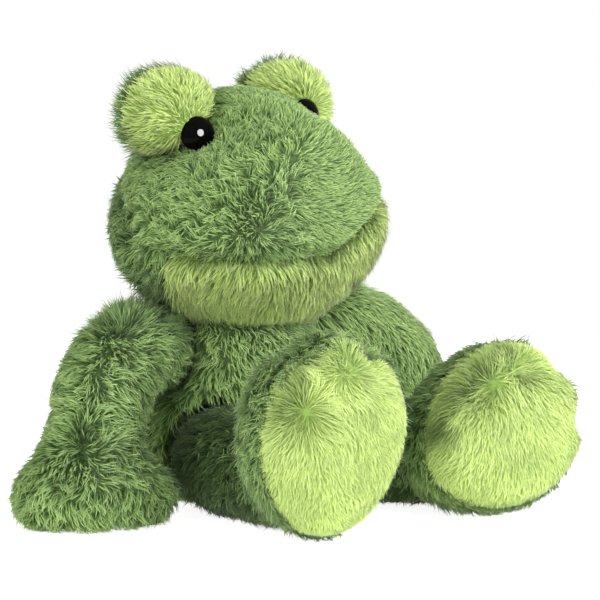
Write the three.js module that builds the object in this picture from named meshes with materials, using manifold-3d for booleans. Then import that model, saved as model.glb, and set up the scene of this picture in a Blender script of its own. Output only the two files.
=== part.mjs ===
// A sitting plush frog, in millimetres. +Z is up, the frog faces -Y and its own left is +X.
// The origin is the middle of the flat under its seat, on the surface it sits on.
import * as THREE from 'three';
import { ConvexGeometry } from 'three/addons/geometries/ConvexGeometry.js';
import { mergeVertices } from 'three/addons/utils/BufferGeometryUtils.js';
import Module from 'manifold-3d';

const wasm = await Module();
wasm.setup();

// Cloth, seams and flats
const pileCloth = 7; // backing cloth and fur pile together, up to the mean height of the tips
const seamGap = 0.35; // between two pieces that are sewn or pressed together
const swingGap = 1; // between the torso and a leg that swings past it
const restFlat = 0.5; // how deep the toy's weight flattens it where it rests
const cutReach = 600; // how far every cutting block runs past the toy

// Torso: a pear that stands on its seat
const torsoHeight = 110;
const torsoHalfWidth = 57;
const torsoHalfDepth = 50;
const torsoSetBack = 5; // middle of the torso behind the origin
const torsoSeamSetBack = 12; // the side seams, behind the origin
const pouchHeight = 24; // top of the pellet pouch above the seat
const torsoSides = 20;
// height, half width and half depth, each a share of the torso's own
const torsoShares = [
  [0, 0, 0], [0.005, 0.56, 0.58], [0.05, 0.8, 0.82], [0.15, 0.94, 0.95], [0.32, 1, 1], [0.52, 0.95, 0.95],
  [0.7, 0.83, 0.86], [0.84, 0.67, 0.75], [0.93, 0.49, 0.57], [0.98, 0.27, 0.31], [1, 0, 0],
];

// Head: wide cheeks, a crown that narrows to the brow and a blunt snout
const headHeight = 130;
const headHalfWidth = 73;
const headHalfDepth = 63;
const chinHeight = 87; // underside of the chin above the surface
const headSetForward = 2; // middle of the head in front of the origin
const headSides = 24;
const headSquareness = 2.35; // exponent of the head's plan: 2 is an ellipse
const headShares = [
  [0, 0, 0], [0.02, 0.25, 0.36], [0.07, 0.47, 0.63], [0.17, 0.74, 0.83], [0.28, 0.94, 0.94], [0.39, 1.01, 1],
  [0.5, 0.96, 1.03], [0.61, 0.87, 1.05], [0.7, 0.71, 1.07], [0.79, 0.49, 1.07], [0.87, 0.31, 0.96],
  [0.95, 0.17, 0.64], [1, 0, 0],
];
const mouthHeight = 131; // the mouth line above the surface, at the front
const mouthRiseShare = 0.05; // climb of the mouth line for each step back from the lips
const mouthCornerSetForward = 18; // each corner of the mouth, in front of the origin
const smileStart = 8; // the mouth's left end climbs from here, left of the middle
const smileRiseShare = 0.55; // for each step further left
const lipLeanShare = 0.6; // how far the lip panel's back seam runs back for each step down
const gussetHalfWidth = 13; // the strip over the middle of the head, from the mouth to the back seam
const backSeamHeight = 136; // seam over the head's back panel, where it starts behind the mouth
const backSeamSetForward = 13;
const backSeamRiseShare = 0.6; // climb of that seam for each step back

// Neck: the head turns on the top of the torso
const neckSetBack = torsoSetBack;

// Eye domes and eyes
const domeHalfWidth = 30;
const domeHalfDepth = 22;
const domeHalfHeight = 27;
const domeSpread = 38; // middle of each dome from the toy's middle plane
const domeSetBack = 14;
const domeHeight = 199.5; // middle of each dome above the surface
const domeSeamSetBack = 2; // seam between a dome's light front and green back, behind its middle
const domeSides = 14;
const domeRings = 8;
const eyeRadius = 9;
const eyeRise = 6; // how far the glossy face stands out of its rim
const eyeRimThickness = 1.5;
const eyeDomeShares = [[1, 0], [0.92, 0.38], [0.71, 0.71], [0.38, 0.92], [0, 1]]; // radius, then height
const eyeStemRadius = 2.4;
const eyeStemLength = 13;
const eyeSpread = 35.5;
const eyeHeight = 191; // middle of the lower eye's rim above the surface
const eyeSetForward = 5.5; // middle of each rim in front of the origin
const eyeOutTurn = 16; // degrees that each eye looks outwards
const eyeUpTurn = 4; // degrees that each eye looks up
const washerRadius = 7.5;
const washerThickness = 2;
const washerSetBack = 9; // face of the washer behind the eye's rim
const turnedSides = 16;
const pocketSides = 10;

// Arms: stations of the frog's right arm, from the shoulder seam to under the paw
const shoulder = { out: 54, back: 9, up: 80 };
const shoulderRadius = 22;
const armRadius = 26;
const armSides = 14;
const pawHalfWidth = 44;
const pawHalfDepth = 29;
const pawTurn = 24; // degrees that the paw's broad side turns towards the front
const armSpread = 55; // middle of the paw out from the shoulder, where the arm lies widest
const armAdvance = 24; // and forward of it, where the arm lies furthest forward
const armDrop = 80;
const armSeamTurn = 45; // degrees that the arm's seam turns from its outer face to its front
// out from the shoulder, forward of it and down from it, as shares of the arm's own reach each way,
// then the half width and half depth as shares of the arm's radius. The seam runs through the middle of
// the last station but one.
const armShares = [
  [0.26, 0.1, -0.035, 0.96, 0.97],
  [0.52, 0.3, 0.045, 1.02, 1.02],
  [0.76, 0.55, 0.21, 1.06, 1.04],
  [0.92, 0.78, 0.42, 1, 0.98],
];
// height as a share of the paw's height, then half width and half depth as shares of the paw's own
const pawHeight = 40;
const pawShares = [
  [0.88, 0.74, 0.9], [0.62, 0.95, 1], [0.32, 1, 0.97], [0.1, 0.9, 0.82], [0, 0.72, 0.64], [-0.02, 0, 0],
];

// Legs: a tube from the hip seam forward to a big upright foot
const hip = { out: 36, forward: 27, up: 28 };
const legRadius = 28;
const legSides = 14;
// distance along the leg as a share of its length, then the radius as a share of the leg's own
const legLength = 82;
const legShares = [[0.3, 1], [0.62, 0.97], [0.9, 0.86], [1.05, 0.5], [1.1, 0]];
const footLength = 106;
const footHalfWidth = 44;
const footThickness = 68;
const footSides = 32;
const footAhead = 89; // middle of the foot ahead of the hip
// depth through the foot as a share of its thickness, then the outline's size as a share of the full one
const footShares = [
  [-0.5, 0], [-0.46, 0.52], [-0.3, 0.89], [-0.05, 1], [0.18, 0.99], [0.37, 0.84], [0.475, 0.5], [0.5, 0],
];
const heelShare = 0.9; // width of the heel as a share of the width over the toes
const heelEndShare = -1; // the outline widens from here, as a share of half the foot's length
const toeStartShare = 0.35; // to here
const toeNotchShare = 0.14; // depth of the two hollows between the toes
const toeNotchTurn = 22.5; // degrees from the middle toe's tip to the bottom of each hollow
const toeNotchSpread = 17; // degrees from the bottom of a hollow to its ends
const soleSeamShare = 0.12; // the sole's seam in front of the foot's middle, as a share of its thickness

// How each side sits: the leg's splay and the foot's roll, lean and toe-in in degrees, then how far out
// and forward the arm lies and how much higher the eye is, as shares of armSpread, armAdvance, eyeHeight
const poses = {
  right: {
    sign: -1, splay: 7, roll: 0, lean: 10, toeIn: 0, outShare: 1, forwardShare: 1, liftShare: 0,
  },
  left: {
    sign: 1, splay: 24, roll: 68, lean: -14, toeIn: 32, outShare: 1.22, forwardShare: 0.12, liftShare: 0.026,
  },
};

// Joint ranges, in degrees from how the toy sits
const legDown = 45;
const legUp = 12;
const fanSteps = 3; // leg positions that shape the hollow in the torso
const fanSides = 12;
const fanReachShare = 0.7; // length of the hollow as a share of the leg's length
const socketSides = 14;

const colours = {
  green: new THREE.MeshStandardMaterial({ color: 0x6c9a4c, roughness: 0.95 }),
  lightGreen: new THREE.MeshStandardMaterial({ color: 0xb4d46e, roughness: 0.95 }),
  stuffing: new THREE.MeshStandardMaterial({ color: 0xf2f0ea, roughness: 1 }),
  pellets: new THREE.MeshStandardMaterial({ color: 0xd9d3c4, roughness: 0.9 }),
  eye: new THREE.MeshStandardMaterial({ color: 0x050505, roughness: 0.08 }),
  washer: new THREE.MeshStandardMaterial({ color: 0xe8e8e4, roughness: 0.5 }),
};

const radians = THREE.MathUtils.degToRad;
const X = new THREE.Vector3(1, 0, 0);
const Y = new THREE.Vector3(0, 1, 0);
const Z = new THREE.Vector3(0, 0, 1);
const toy = new THREE.Group();

function solidOf(geometry) {
  const bare = geometry.clone();
  bare.deleteAttribute('normal');
  bare.deleteAttribute('uv');
  const merged = mergeVertices(bare);
  const solid = new wasm.Manifold(new wasm.Mesh({
    numProp: 3,
    vertProperties: new Float32Array(merged.attributes.position.array),
    triVerts: new Uint32Array(merged.index.array),
  }));
  return solid;
}

function geometryOf(solid) {
  const mesh = solid.getMesh();
  const geometry = new THREE.BufferGeometry();
  geometry.setAttribute('position', new THREE.BufferAttribute(new Float32Array(mesh.vertProperties), 3));
  geometry.setIndex(new THREE.BufferAttribute(new Uint32Array(mesh.triVerts), 1));
  const flat = geometry.toNonIndexed();
  flat.computeVertexNormals();
  return flat;
}

// A piece is its largest body: where two cuts cross, they can leave a loose crumb beside it.
function addPiece(name, solid, material) {
  const [body] = solid.decompose().sort((a, b) => b.volume() - a.volume());
  const mesh = new THREE.Mesh(geometryOf(body), material);
  mesh.name = name;
  toy.add(mesh);
}

// Outlines: the point at an angle, as shares of the half width and the half height
const ellipse = (angle) => [Math.cos(angle), Math.sin(angle)];

function squarish(power) {
  const bend = (value) => Math.sign(value) * Math.abs(value) ** (2 / power);
  return (angle) => [bend(Math.cos(angle)), bend(Math.sin(angle))];
}

// A foot seen from the front: a heel that widens to three toes, with a hollow between the toes
function footOutline(angle) {
  const up = Math.sin(angle);
  const widening = THREE.MathUtils.smoothstep(up, heelEndShare, toeStartShare);
  const width = THREE.MathUtils.lerp(heelShare, 1, widening);
  const fromTip = Math.abs(THREE.MathUtils.radToDeg(angle) - 90);
  const fromNotch = Math.abs(fromTip - toeNotchTurn) / toeNotchSpread;
  const reach = 1 - toeNotchShare * (1 - THREE.MathUtils.smoothstep(fromNotch, 0, 1));
  return [Math.cos(angle) * width * reach, up * reach];
}

// Where a limb starts: stations round a ball, from its pole to its middle, as shares of the radius
const ballShares = [[-1, 0], [-0.88, 0.47], [-0.5, 0.86], [0, 1]];

// A closed form from rings along a path. Each station has its middle, its half sizes and its outline;
// the first and last are single points. The inset draws the whole surface in by that depth.
// A lining, which is inset, has half as many sides and rings as the form that it lines.
function ringForm(allStations, hint, outline, allSides, inset = 0) {
  const last = allStations.length - 1;
  const stations = allStations.filter((_, index) => inset <= 0 || index === last || index % 2 === 0);
  const sides = inset > 0 ? allSides / 2 : allSides;
  const places = stations.map((station, index) => {
    const before = stations[Math.max(index - 1, 0)];
    const after = stations[Math.min(index + 1, stations.length - 1)];
    const along = after.at.clone().sub(before.at);
    const step = along.length();
    along.normalize();
    const isPole = index === 0 || index === stations.length - 1;
    const slope = (after.wide + after.deep - before.wide - before.deep) / 2 / step;
    const run = Math.sqrt(1 + slope * slope);
    const sign = index === 0 ? 1 : -1;
    const shift = isPole ? sign * inset : (inset * slope) / run;
    return {
      at: station.at.clone().addScaledVector(along, shift),
      along,
      wide: isPole ? 0 : station.wide - inset / run,
      deep: isPole ? 0 : station.deep - inset / run,
      hint: station.hint || hint,
      outline: station.outline || outline,
    };
  });
  const points = [places[0].at];
  const rings = places.slice(1, -1);
  for (const ring of rings) {
    const across = ring.hint.clone().addScaledVector(ring.along, -ring.hint.dot(ring.along)).normalize();
    const through = ring.along.clone().cross(across);
    for (let side = 0; side < sides; side++) {
      const [a, b] = ring.outline((2 * Math.PI * side) / sides);
      const point = ring.at.clone().addScaledVector(across, a * ring.wide);
      points.push(point.addScaledVector(through, b * ring.deep));
    }
  }
  points.push(places[places.length - 1].at);
  const tip = points.length - 1;
  const corner = (ring, side) => 1 + ring * sides + (side % sides);
  const faces = [];
  for (let side = 0; side < sides; side++) {
    faces.push(0, corner(0, side + 1), corner(0, side));
    for (let ring = 0; ring < rings.length - 1; ring++) {
      faces.push(corner(ring, side), corner(ring, side + 1), corner(ring + 1, side + 1));
      faces.push(corner(ring, side), corner(ring + 1, side + 1), corner(ring + 1, side));
    }
    faces.push(tip, corner(rings.length - 1, side), corner(rings.length - 1, side + 1));
  }
  const geometry = new THREE.BufferGeometry().setFromPoints(points);
  geometry.setIndex(faces);
  return solidOf(geometry);
}

// A block that keeps only what lies on the far side of a plane.
function halfSpace(point, direction) {
  const block = new THREE.BoxGeometry(cutReach, cutReach, cutReach);
  block.translate(0, 0, cutReach / 2);
  const turn = new THREE.Quaternion().setFromUnitVectors(Z, direction.clone().normalize());
  block.applyQuaternion(turn);
  block.translate(point.x, point.y, point.z);
  return solidOf(block);
}

const aboveSurface = halfSpace(new THREE.Vector3(), Z);

// The two parts of a solid on either side of a plane, a seam gap apart
function splitAlong(solid, point, direction) {
  const normal = direction.clone().normalize();
  const front = halfSpace(point.clone().addScaledVector(normal, seamGap / 2), normal);
  const back = halfSpace(point.clone().addScaledVector(normal, -seamGap / 2), normal.clone().negate());
  return [solid.intersect(front), solid.intersect(back)];
}

function ball(radius, centre, sides, rings) {
  const geometry = new THREE.SphereGeometry(radius, sides, rings);
  geometry.translate(centre.x, centre.y, centre.z);
  return solidOf(geometry);
}

// Forms that stand upright: torso and head
function uprightStations(shares, height, halfWidth, halfDepth, foot) {
  return shares.map(([up, wide, deep]) => ({
    at: foot.clone().addScaledVector(Z, up * height),
    wide: wide * halfWidth,
    deep: deep * halfDepth,
  }));
}

const torsoFoot = new THREE.Vector3(0, torsoSetBack, -restFlat);
const torsoStations = uprightStations(torsoShares, torsoHeight, torsoHalfWidth, torsoHalfDepth, torsoFoot);
const torsoForm = (inset) => ringForm(torsoStations, X, ellipse, torsoSides, inset).intersect(aboveSurface);

const headFoot = new THREE.Vector3(0, -headSetForward, chinHeight);
const headStations = uprightStations(headShares, headHeight, headHalfWidth, headHalfDepth, headFoot);
const headForm = (inset) => ringForm(headStations, X, squarish(headSquareness), headSides, inset);

// The hollow under the head that turns on the torso: round about the neck's axis
function neckHollow(gap) {
  const profile = [new THREE.Vector2(0, -cutReach / 2)];
  for (const [up, wide, deep] of torsoShares.slice(5)) {
    const radius = Math.max(wide * torsoHalfWidth, deep * torsoHalfDepth);
    const lift = up * torsoHeight - restFlat;
    profile.push(new THREE.Vector2(up === 1 ? 0 : radius + gap, lift + gap));
    if (profile.length === 2) profile.splice(1, 0, new THREE.Vector2(radius + gap, -cutReach / 2));
  }
  const geometry = new THREE.LatheGeometry(profile, torsoSides);
  geometry.rotateX(Math.PI / 2);
  geometry.translate(0, neckSetBack, 0);
  return solidOf(geometry);
}

// A point along an arm, by its shares of the arm's reach each way
function armPoint({ sign, outShare, forwardShare }, out, forward, down) {
  return new THREE.Vector3(
    sign * (shoulder.out + out * outShare * armSpread),
    shoulder.back - forward * forwardShare * armAdvance,
    shoulder.up - down * armDrop,
  );
}

// One arm, from its shoulder seam to the flat under its paw
function armForm(pose, inset) {
  const { sign } = pose;
  const turnedHint = (share) => Y.clone().applyAxisAngle(Z, radians(sign * pawTurn * share));
  const root = ballShares.map(([along, size]) => ({
    at: armPoint(pose, 0, 0, 0).addScaledVector(X, sign * along * shoulderRadius),
    wide: size * shoulderRadius,
    deep: size * shoulderRadius,
    hint: Y,
  }));
  const upper = armShares.map(([out, forward, down, wide, deep]) => ({
    at: armPoint(pose, out, forward, down),
    wide: wide * armRadius,
    deep: deep * armRadius,
    hint: turnedHint(out),
  }));
  const pawAt = armPoint(pose, 1, 1, 1);
  const paw = pawShares.map(([up, wide, deep]) => ({
    at: new THREE.Vector3(pawAt.x, pawAt.y, up * pawHeight),
    wide: deep * pawHalfDepth,
    deep: wide * pawHalfWidth,
    hint: turnedHint(1),
  }));
  return ringForm([...root, ...upper, ...paw], Y, ellipse, armSides, inset).intersect(aboveSurface);
}

// One leg and its foot. The leg lies forward along -Y from the hip, then splays about the hip.
function hipAt(pose) {
  return new THREE.Vector3(pose.sign * hip.out, -hip.forward, hip.up);
}

function legFrame(pose) {
  const turn = new THREE.Quaternion().setFromAxisAngle(Z, radians(pose.sign * pose.splay));
  return (point) => point.clone().applyQuaternion(turn).add(hipAt(pose));
}

function legTube(pose, inset) {
  const frame = legFrame(pose);
  const root = ballShares.map(([along, size]) => [along * legRadius, size]);
  const tube = legShares.map(([along, size]) => [along * legLength, size]);
  const stations = [...root, ...tube].map(([along, size]) => ({
    at: frame(new THREE.Vector3(0, -along, 0)),
    wide: size * legRadius,
    deep: size * legRadius,
  }));
  return ringForm(stations, Z, ellipse, legSides, inset);
}

// The way a foot faces: splayed with its leg, leaning forward and rolled outwards
function footTurn(pose) {
  const turn = new THREE.Quaternion().setFromAxisAngle(Z, radians(pose.sign * (pose.splay - pose.toeIn)));
  turn.multiply(new THREE.Quaternion().setFromAxisAngle(X, radians(pose.lean)));
  return turn.multiply(new THREE.Quaternion().setFromAxisAngle(Y, radians(pose.sign * pose.roll)));
}

// The foot's middle is as high as it has to be for the heel to rest on the surface.
function footParts(pose, inset) {
  const turn = footTurn(pose);
  const forward = Y.clone().negate().applyQuaternion(turn);
  const middle = legFrame(pose)(new THREE.Vector3(0, -footAhead, -hip.up));
  const formAt = (centre, depth) => ringForm(
    footShares.map(([through, size]) => ({
      at: centre.clone().addScaledVector(forward, through * footThickness),
      wide: size * footHalfWidth,
      deep: (size * footLength) / 2,
    })),
    X.clone().applyQuaternion(turn),
    footOutline,
    footSides,
    depth,
  );
  middle.z = -formAt(middle, 0).boundingBox().min[2] - restFlat;
  return { turn, forward, middle, form: formAt(middle, inset) };
}

function legForm(pose, inset) {
  return legTube(pose, inset).add(footParts(pose, inset).form).intersect(aboveSurface);
}

function spherePoints(radius, centre, sides, rings) {
  const { position } = new THREE.SphereGeometry(radius, sides, rings).attributes;
  return Array.from({ length: position.count }, (_, index) => (
    new THREE.Vector3().fromBufferAttribute(position, index).add(centre)
  ));
}

// What a leg sweeps through as it swings on its hip, kept clear of the torso: the root's ball and a
// ring some way along the leg in each of its positions, all in one rounded wedge
function legFan(pose, growth) {
  const hipPoint = hipAt(pose);
  const radius = (legRadius + growth + swingGap) / Math.cos(Math.PI / fanSides);
  const points = spherePoints(radius, hipPoint, fanSides, fanSides / 2);
  for (let step = 0; step < fanSteps; step++) {
    const angle = THREE.MathUtils.lerp(-legDown, legUp, step / (fanSteps - 1));
    for (let side = 0; side < fanSides; side++) {
      const [across, up] = ellipse((2 * Math.PI * side) / fanSides);
      const point = new THREE.Vector3(across * radius, -legLength * fanReachShare, up * radius);
      point.applyAxisAngle(Z, radians(pose.sign * pose.splay)).applyAxisAngle(X, radians(-angle));
      points.push(point.add(hipPoint));
    }
  }
  return solidOf(new ConvexGeometry(points));
}

function shoulderSocket(pose, growth) {
  const centre = new THREE.Vector3(pose.sign * shoulder.out, shoulder.back, shoulder.up);
  const radius = (shoulderRadius + growth + swingGap) / Math.cos(Math.PI / socketSides);
  return ball(radius, centre, socketSides, socketSides / 2);
}

// Torso: cut clear of the limbs, then lined with its stuffing and a pouch of pellets in the seat
function addTorso() {
  const cutClear = (inset) => {
    let form = torsoForm(inset);
    for (const pose of Object.values(poses)) {
      form = form.subtract(legFan(pose, inset)).subtract(shoulderSocket(pose, inset));
    }
    return form;
  };
  const skin = cutClear(0).subtract(cutClear(pileCloth));
  const seam = new THREE.Vector3(0, torsoSeamSetBack, 0);
  const [back, front] = splitAlong(skin, seam, Y);
  addPiece('torso_front_panel', front, colours.green);
  addPiece('torso_back_panel', back, colours.green);
  const core = cutClear(pileCloth + seamGap);
  const [upper, lower] = splitAlong(core, new THREE.Vector3(0, 0, pouchHeight), Z);
  addPiece('torso_stuffing', upper, colours.stuffing);
  addPiece('seat_pellet_pouch', lower, colours.pellets);
}

// The eye's own axis, outwards from its rim
function eyeFrame({ sign, liftShare }) {
  const axis = Y.clone().negate().applyAxisAngle(X, radians(-eyeUpTurn));
  axis.applyAxisAngle(Z, radians(sign * eyeOutTurn));
  return { axis, rim: new THREE.Vector3(sign * eyeSpread, -eyeSetForward, eyeHeight * (1 + liftShare)) };
}

function turned(profile, pose, sides) {
  const { axis, rim } = eyeFrame(pose);
  const geometry = new THREE.LatheGeometry(profile.map(([r, z]) => new THREE.Vector2(r, z)), sides);
  geometry.applyQuaternion(new THREE.Quaternion().setFromUnitVectors(Y, axis));
  geometry.translate(rim.x, rim.y, rim.z);
  return solidOf(geometry);
}

function eyeSolid(pose) {
  const dome = eyeDomeShares.map(([radius, rise]) => [radius * eyeRadius, eyeRimThickness + rise * eyeRise]);
  return turned([
    [0, -eyeStemLength], [eyeStemRadius, -eyeStemLength], [eyeStemRadius, 0], [eyeRadius, 0], ...dome,
  ], pose, turnedSides);
}

function eyeWasher(pose) {
  const inner = eyeStemRadius + seamGap;
  const back = -washerSetBack - washerThickness;
  const front = -washerSetBack;
  const profile = [[inner, back], [washerRadius, back], [washerRadius, front], [inner, front], [inner, back]];
  return turned(profile, pose, turnedSides);
}

// What an eye, its stem and its washer take out of the pieces around them, with a gap all round
function eyePocket(pose) {
  const widened = seamGap / Math.cos(Math.PI / pocketSides);
  const stem = (eyeStemRadius + widened) / Math.cos(Math.PI / pocketSides);
  const rim = (eyeRadius + widened) / Math.cos(Math.PI / pocketSides);
  const washer = (washerRadius + widened) / Math.cos(Math.PI / pocketSides);
  const front = eyeRimThickness + eyeRise + seamGap;
  const end = -eyeStemLength - seamGap;
  const washerBack = -washerSetBack - washerThickness - seamGap;
  const washerFront = -washerSetBack + seamGap;
  return turned([
    [0, end], [stem, end], [stem, washerBack], [washer, washerBack], [washer, washerFront], [stem, washerFront],
    [stem, -seamGap], [rim, -seamGap], [rim, front], [0, front],
  ], pose, pocketSides);
}

function cutByEyes(solid) {
  return solid.subtract(eyePocket(poses.right)).subtract(eyePocket(poses.left));
}

// The space of the lip panel: under a mouth line that climbs towards the cheeks, more on the left, in
// front of a seam that runs down and back from the corners of the mouth. The gap widens it on its cut
// sides.
function lipSpace(gap) {
  const lips = new THREE.Vector3(0, -headSetForward - headHalfDepth, mouthHeight + gap);
  const corner = new THREE.Vector3(0, -mouthCornerSetForward + gap, mouthHeight);
  const smile = lips.clone().addScaledVector(X, smileStart);
  const underMouth = halfSpace(lips, new THREE.Vector3(0, mouthRiseShare, -1))
    .add(halfSpace(smile, new THREE.Vector3(smileRiseShare, mouthRiseShare, -1)));
  return underMouth.intersect(halfSpace(corner, new THREE.Vector3(0, -1, -lipLeanShare)));
}

function addHead() {
  const outer = headForm(0).subtract(neckHollow(seamGap));
  const inner = headForm(pileCloth).subtract(neckHollow(pileCloth));
  const skin = cutByEyes(outer.subtract(inner));
  addPiece('lip_panel', skin.intersect(lipSpace(0)), colours.lightGreen);
  const backSeam = new THREE.Vector3(0, -backSeamSetForward, backSeamHeight);
  const upper = skin.subtract(lipSpace(seamGap));
  const [back, front] = splitAlong(upper, backSeam, new THREE.Vector3(0, backSeamRiseShare, -1));
  addPiece('head_back_panel', back, colours.green);
  const strip = (gap) => solidOf(new THREE.BoxGeometry((gussetHalfWidth + gap) * 2, cutReach, cutReach));
  addPiece('head_gusset', front.intersect(strip(0)), colours.green);
  const [leftSide, rightSide] = splitAlong(front.subtract(strip(seamGap)), new THREE.Vector3(), X);
  addPiece('head_side_panel_right', rightSide, colours.green);
  addPiece('head_side_panel_left', leftSide, colours.green);
  const core = headForm(pileCloth + seamGap).subtract(neckHollow(pileCloth + seamGap));
  addPiece('head_stuffing', cutByEyes(core), colours.stuffing);
}

function addDomes() {
  const headAround = headForm(-seamGap);
  for (const [side, pose] of Object.entries(poses)) {
    const centre = new THREE.Vector3(pose.sign * domeSpread, domeSetBack, domeHeight);
    const dome = (inset, sides, rings) => {
      const geometry = new THREE.SphereGeometry(1, sides, rings);
      geometry.scale(domeHalfWidth - inset, domeHalfDepth - inset, domeHalfHeight - inset);
      geometry.translate(centre.x, centre.y, centre.z);
      return solidOf(geometry);
    };
    const lining = (gap) => dome(pileCloth + gap, domeSides / 2, domeRings / 2);
    const shell = dome(0, domeSides, domeRings).subtract(lining(0));
    const skin = cutByEyes(shell.subtract(headAround));
    const seam = centre.clone().addScaledVector(Y, domeSeamSetBack);
    const [back, front] = splitAlong(skin, seam, Y);
    addPiece(`eye_dome_front_${side}`, front, colours.lightGreen);
    addPiece(`eye_dome_back_${side}`, back, colours.green);
    addPiece(`eye_dome_stuffing_${side}`, cutByEyes(lining(seamGap).subtract(headAround)), colours.stuffing);
    addPiece(`eye_${side}`, eyeSolid(pose), colours.eye);
    addPiece(`eye_washer_${side}`, eyeWasher(pose), colours.washer);
  }
}

function addArms() {
  for (const [side, pose] of Object.entries(poses)) {
    const skin = armForm(pose, 0).subtract(armForm(pose, pileCloth));
    const along = armPoint(pose, 1, 1, 1).sub(armPoint(pose, 0, 0, 0));
    const outwards = along.clone().cross(Y).normalize().multiplyScalar(pose.sign);
    outwards.applyAxisAngle(along.normalize(), radians(-pose.sign * armSeamTurn));
    const [outer, inner] = splitAlong(skin, armPoint(pose, ...armShares.at(-2)), outwards);
    addPiece(`arm_outer_panel_${side}`, outer, colours.green);
    addPiece(`arm_inner_panel_${side}`, inner, colours.green);
    addPiece(`arm_stuffing_${side}`, armForm(pose, pileCloth + seamGap), colours.stuffing);
  }
}

function addLegs() {
  for (const [side, pose] of Object.entries(poses)) {
    const skin = legForm(pose, 0).subtract(legForm(pose, pileCloth));
    const { middle, forward, turn } = footParts(pose, 0);
    const soleSeam = middle.clone().addScaledVector(forward, soleSeamShare * footThickness);
    const [sole, rest] = splitAlong(skin, soleSeam, forward);
    addPiece(`sole_panel_${side}`, sole, colours.lightGreen);
    const outwards = X.clone().multiplyScalar(pose.sign).applyQuaternion(turn);
    const alongLeg = legFrame(pose)(Y.clone().negate()).sub(hipAt(pose));
    outwards.addScaledVector(alongLeg, -outwards.dot(alongLeg)).normalize();
    const [outer, inner] = splitAlong(rest, hipAt(pose), outwards);
    addPiece(`leg_outer_panel_${side}`, outer, colours.green);
    addPiece(`leg_inner_panel_${side}`, inner, colours.green);
    addPiece(`leg_stuffing_${side}`, legForm(pose, pileCloth + seamGap), colours.stuffing);
  }
}

addTorso();
addHead();
addDomes();
addArms();
addLegs();

export default toy;
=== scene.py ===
"""A sitting plush frog: long-pile panels sewn over stuffing, and two gloss eyes on stems.

Every stuffed form is one skin grown over its panels. The skin is filled with pressure, dented where the
sewing pulls it in, and cut back into its panels, and each panel carries its own pile.
"""

import math

import bpy
import numpy as np
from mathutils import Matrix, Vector
from mathutils.bvhtree import BVHTree


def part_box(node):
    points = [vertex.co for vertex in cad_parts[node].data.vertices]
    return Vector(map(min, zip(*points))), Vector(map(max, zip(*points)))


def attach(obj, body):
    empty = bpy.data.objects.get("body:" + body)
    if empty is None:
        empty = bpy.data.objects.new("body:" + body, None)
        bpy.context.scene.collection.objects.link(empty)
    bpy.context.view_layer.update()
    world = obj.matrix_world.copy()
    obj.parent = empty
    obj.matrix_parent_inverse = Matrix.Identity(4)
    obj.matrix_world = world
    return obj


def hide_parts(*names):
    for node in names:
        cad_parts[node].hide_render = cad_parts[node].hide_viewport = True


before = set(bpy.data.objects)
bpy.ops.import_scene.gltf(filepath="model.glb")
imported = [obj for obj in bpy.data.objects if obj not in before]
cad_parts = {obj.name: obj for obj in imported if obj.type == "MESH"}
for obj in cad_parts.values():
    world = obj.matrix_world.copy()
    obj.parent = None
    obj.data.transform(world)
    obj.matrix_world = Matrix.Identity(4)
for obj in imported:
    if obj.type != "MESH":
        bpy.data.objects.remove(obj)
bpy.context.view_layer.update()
scene = bpy.context.scene
MM = 0.001

# Lengths are in millimetres, and the object faces -Y with its own right side at -X.
FORM_CELL = 4.2  # side of the cells that a stuffed form is rebuilt from
BAG_CELL = 2.8  # and of those that the pellet bag is rebuilt from
SEAM_CLOSING = 0.45  # growth that closes the seams between the panels of one form
PILE_DEPTH = 2.0  # from the tips of the pile down to the cloth that it grows from
FILL_SWELL = 2.4  # most that the filling pushes the cloth out
USUAL_SWELL = 0.8 * FILL_SWELL  # what it pushes most of the cloth out
FILLING_FRAMES = 20  # steps of the simulation that fills a form
CLOTH_THICKNESS = 0.9
WADDING_DEPTH = 2.6  # from the outside of the cloth to the stuffing
CLOTH_GAP, BAG_GAP = 0.8, 0.6  # least gaps from the stuffing to the inside of the cloth and to the pellet bag
SEAT_SHARE = 0.84  # share of its width that the stuffing keeps over the pellet bag
LOWEST_CLOTH, LOWEST_WADDING = 1.6, 3.0  # heights above the surface that the toy sits on
SKIN_ROUNDS, CLOTH_ROUNDS = 26, 4  # rounds of smoothing before and after a skin is drawn in to the cloth
FOLD_ROUNDS = 14  # most rounds in which thin folds are smoothed out of a drawn-in skin
LOCKS_PER_MM2 = 0.74  # long bent strands
DOWN_PER_MM2 = 0.85  # short straight strands between them
STRAND_GROWTH = 1.0  # thicker strands where fewer grow
STRAND_SHARE = {  # how many of those strands a panel grows, by the start of its name
    "torso": 0.62, "arm_inner": 0.64, "leg_inner": 0.66, "leg_outer": 0.74, "head_back": 0.68, "sole": 1.0,
}
OTHER_SHARE = 0.82  # how many of them every other panel grows
SOFTNESS = 0.66  # how far a strand takes its shading from the cloth below it, as fine hair does
FLOOR_GAP = 0.35  # lowest tips above the surface that the toy sits on
SEARCH_FROM, SEARCH_LENGTH = 3.0, 14.0  # a neighbouring form is looked for from this far under the cloth
TIGHT_ROOM, TIGHT_SHARE = 1.5, 0.25  # nearer to a neighbour than this, only this share of the strands grows
LEAST_ROOM = 2.5  # room that the strands between two forms get
PRESSED_LEAN, PRESSED_LENGTH = 72, 3.5  # least lean and length of a strand that another form presses on
DOWN_LENGTH = 0.68  # length of a short strand, as a share of a long one's
LEAST_WIDTH, MORE_WIDTH, RUFFLED_WIDTH = 0.42, 0.32, 0.14  # of a strand: at least, at random, and where ruffled
CLUMP_SIZE = 4.4  # from one crushed clump of pile to the next
CLUMP_TURN, CLUMP_LEAN = 2.4, 22  # how far a ruffled clump turns, in radians, and leans, in degrees
TURN_SCATTER, LEAN_SCATTER = 0.2, 7  # how far single strands stray
LUMPS = ((1.6, 9, 21), (0.7, 4, 22))  # depth, size and seed of the lumps in the stuffing
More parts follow.
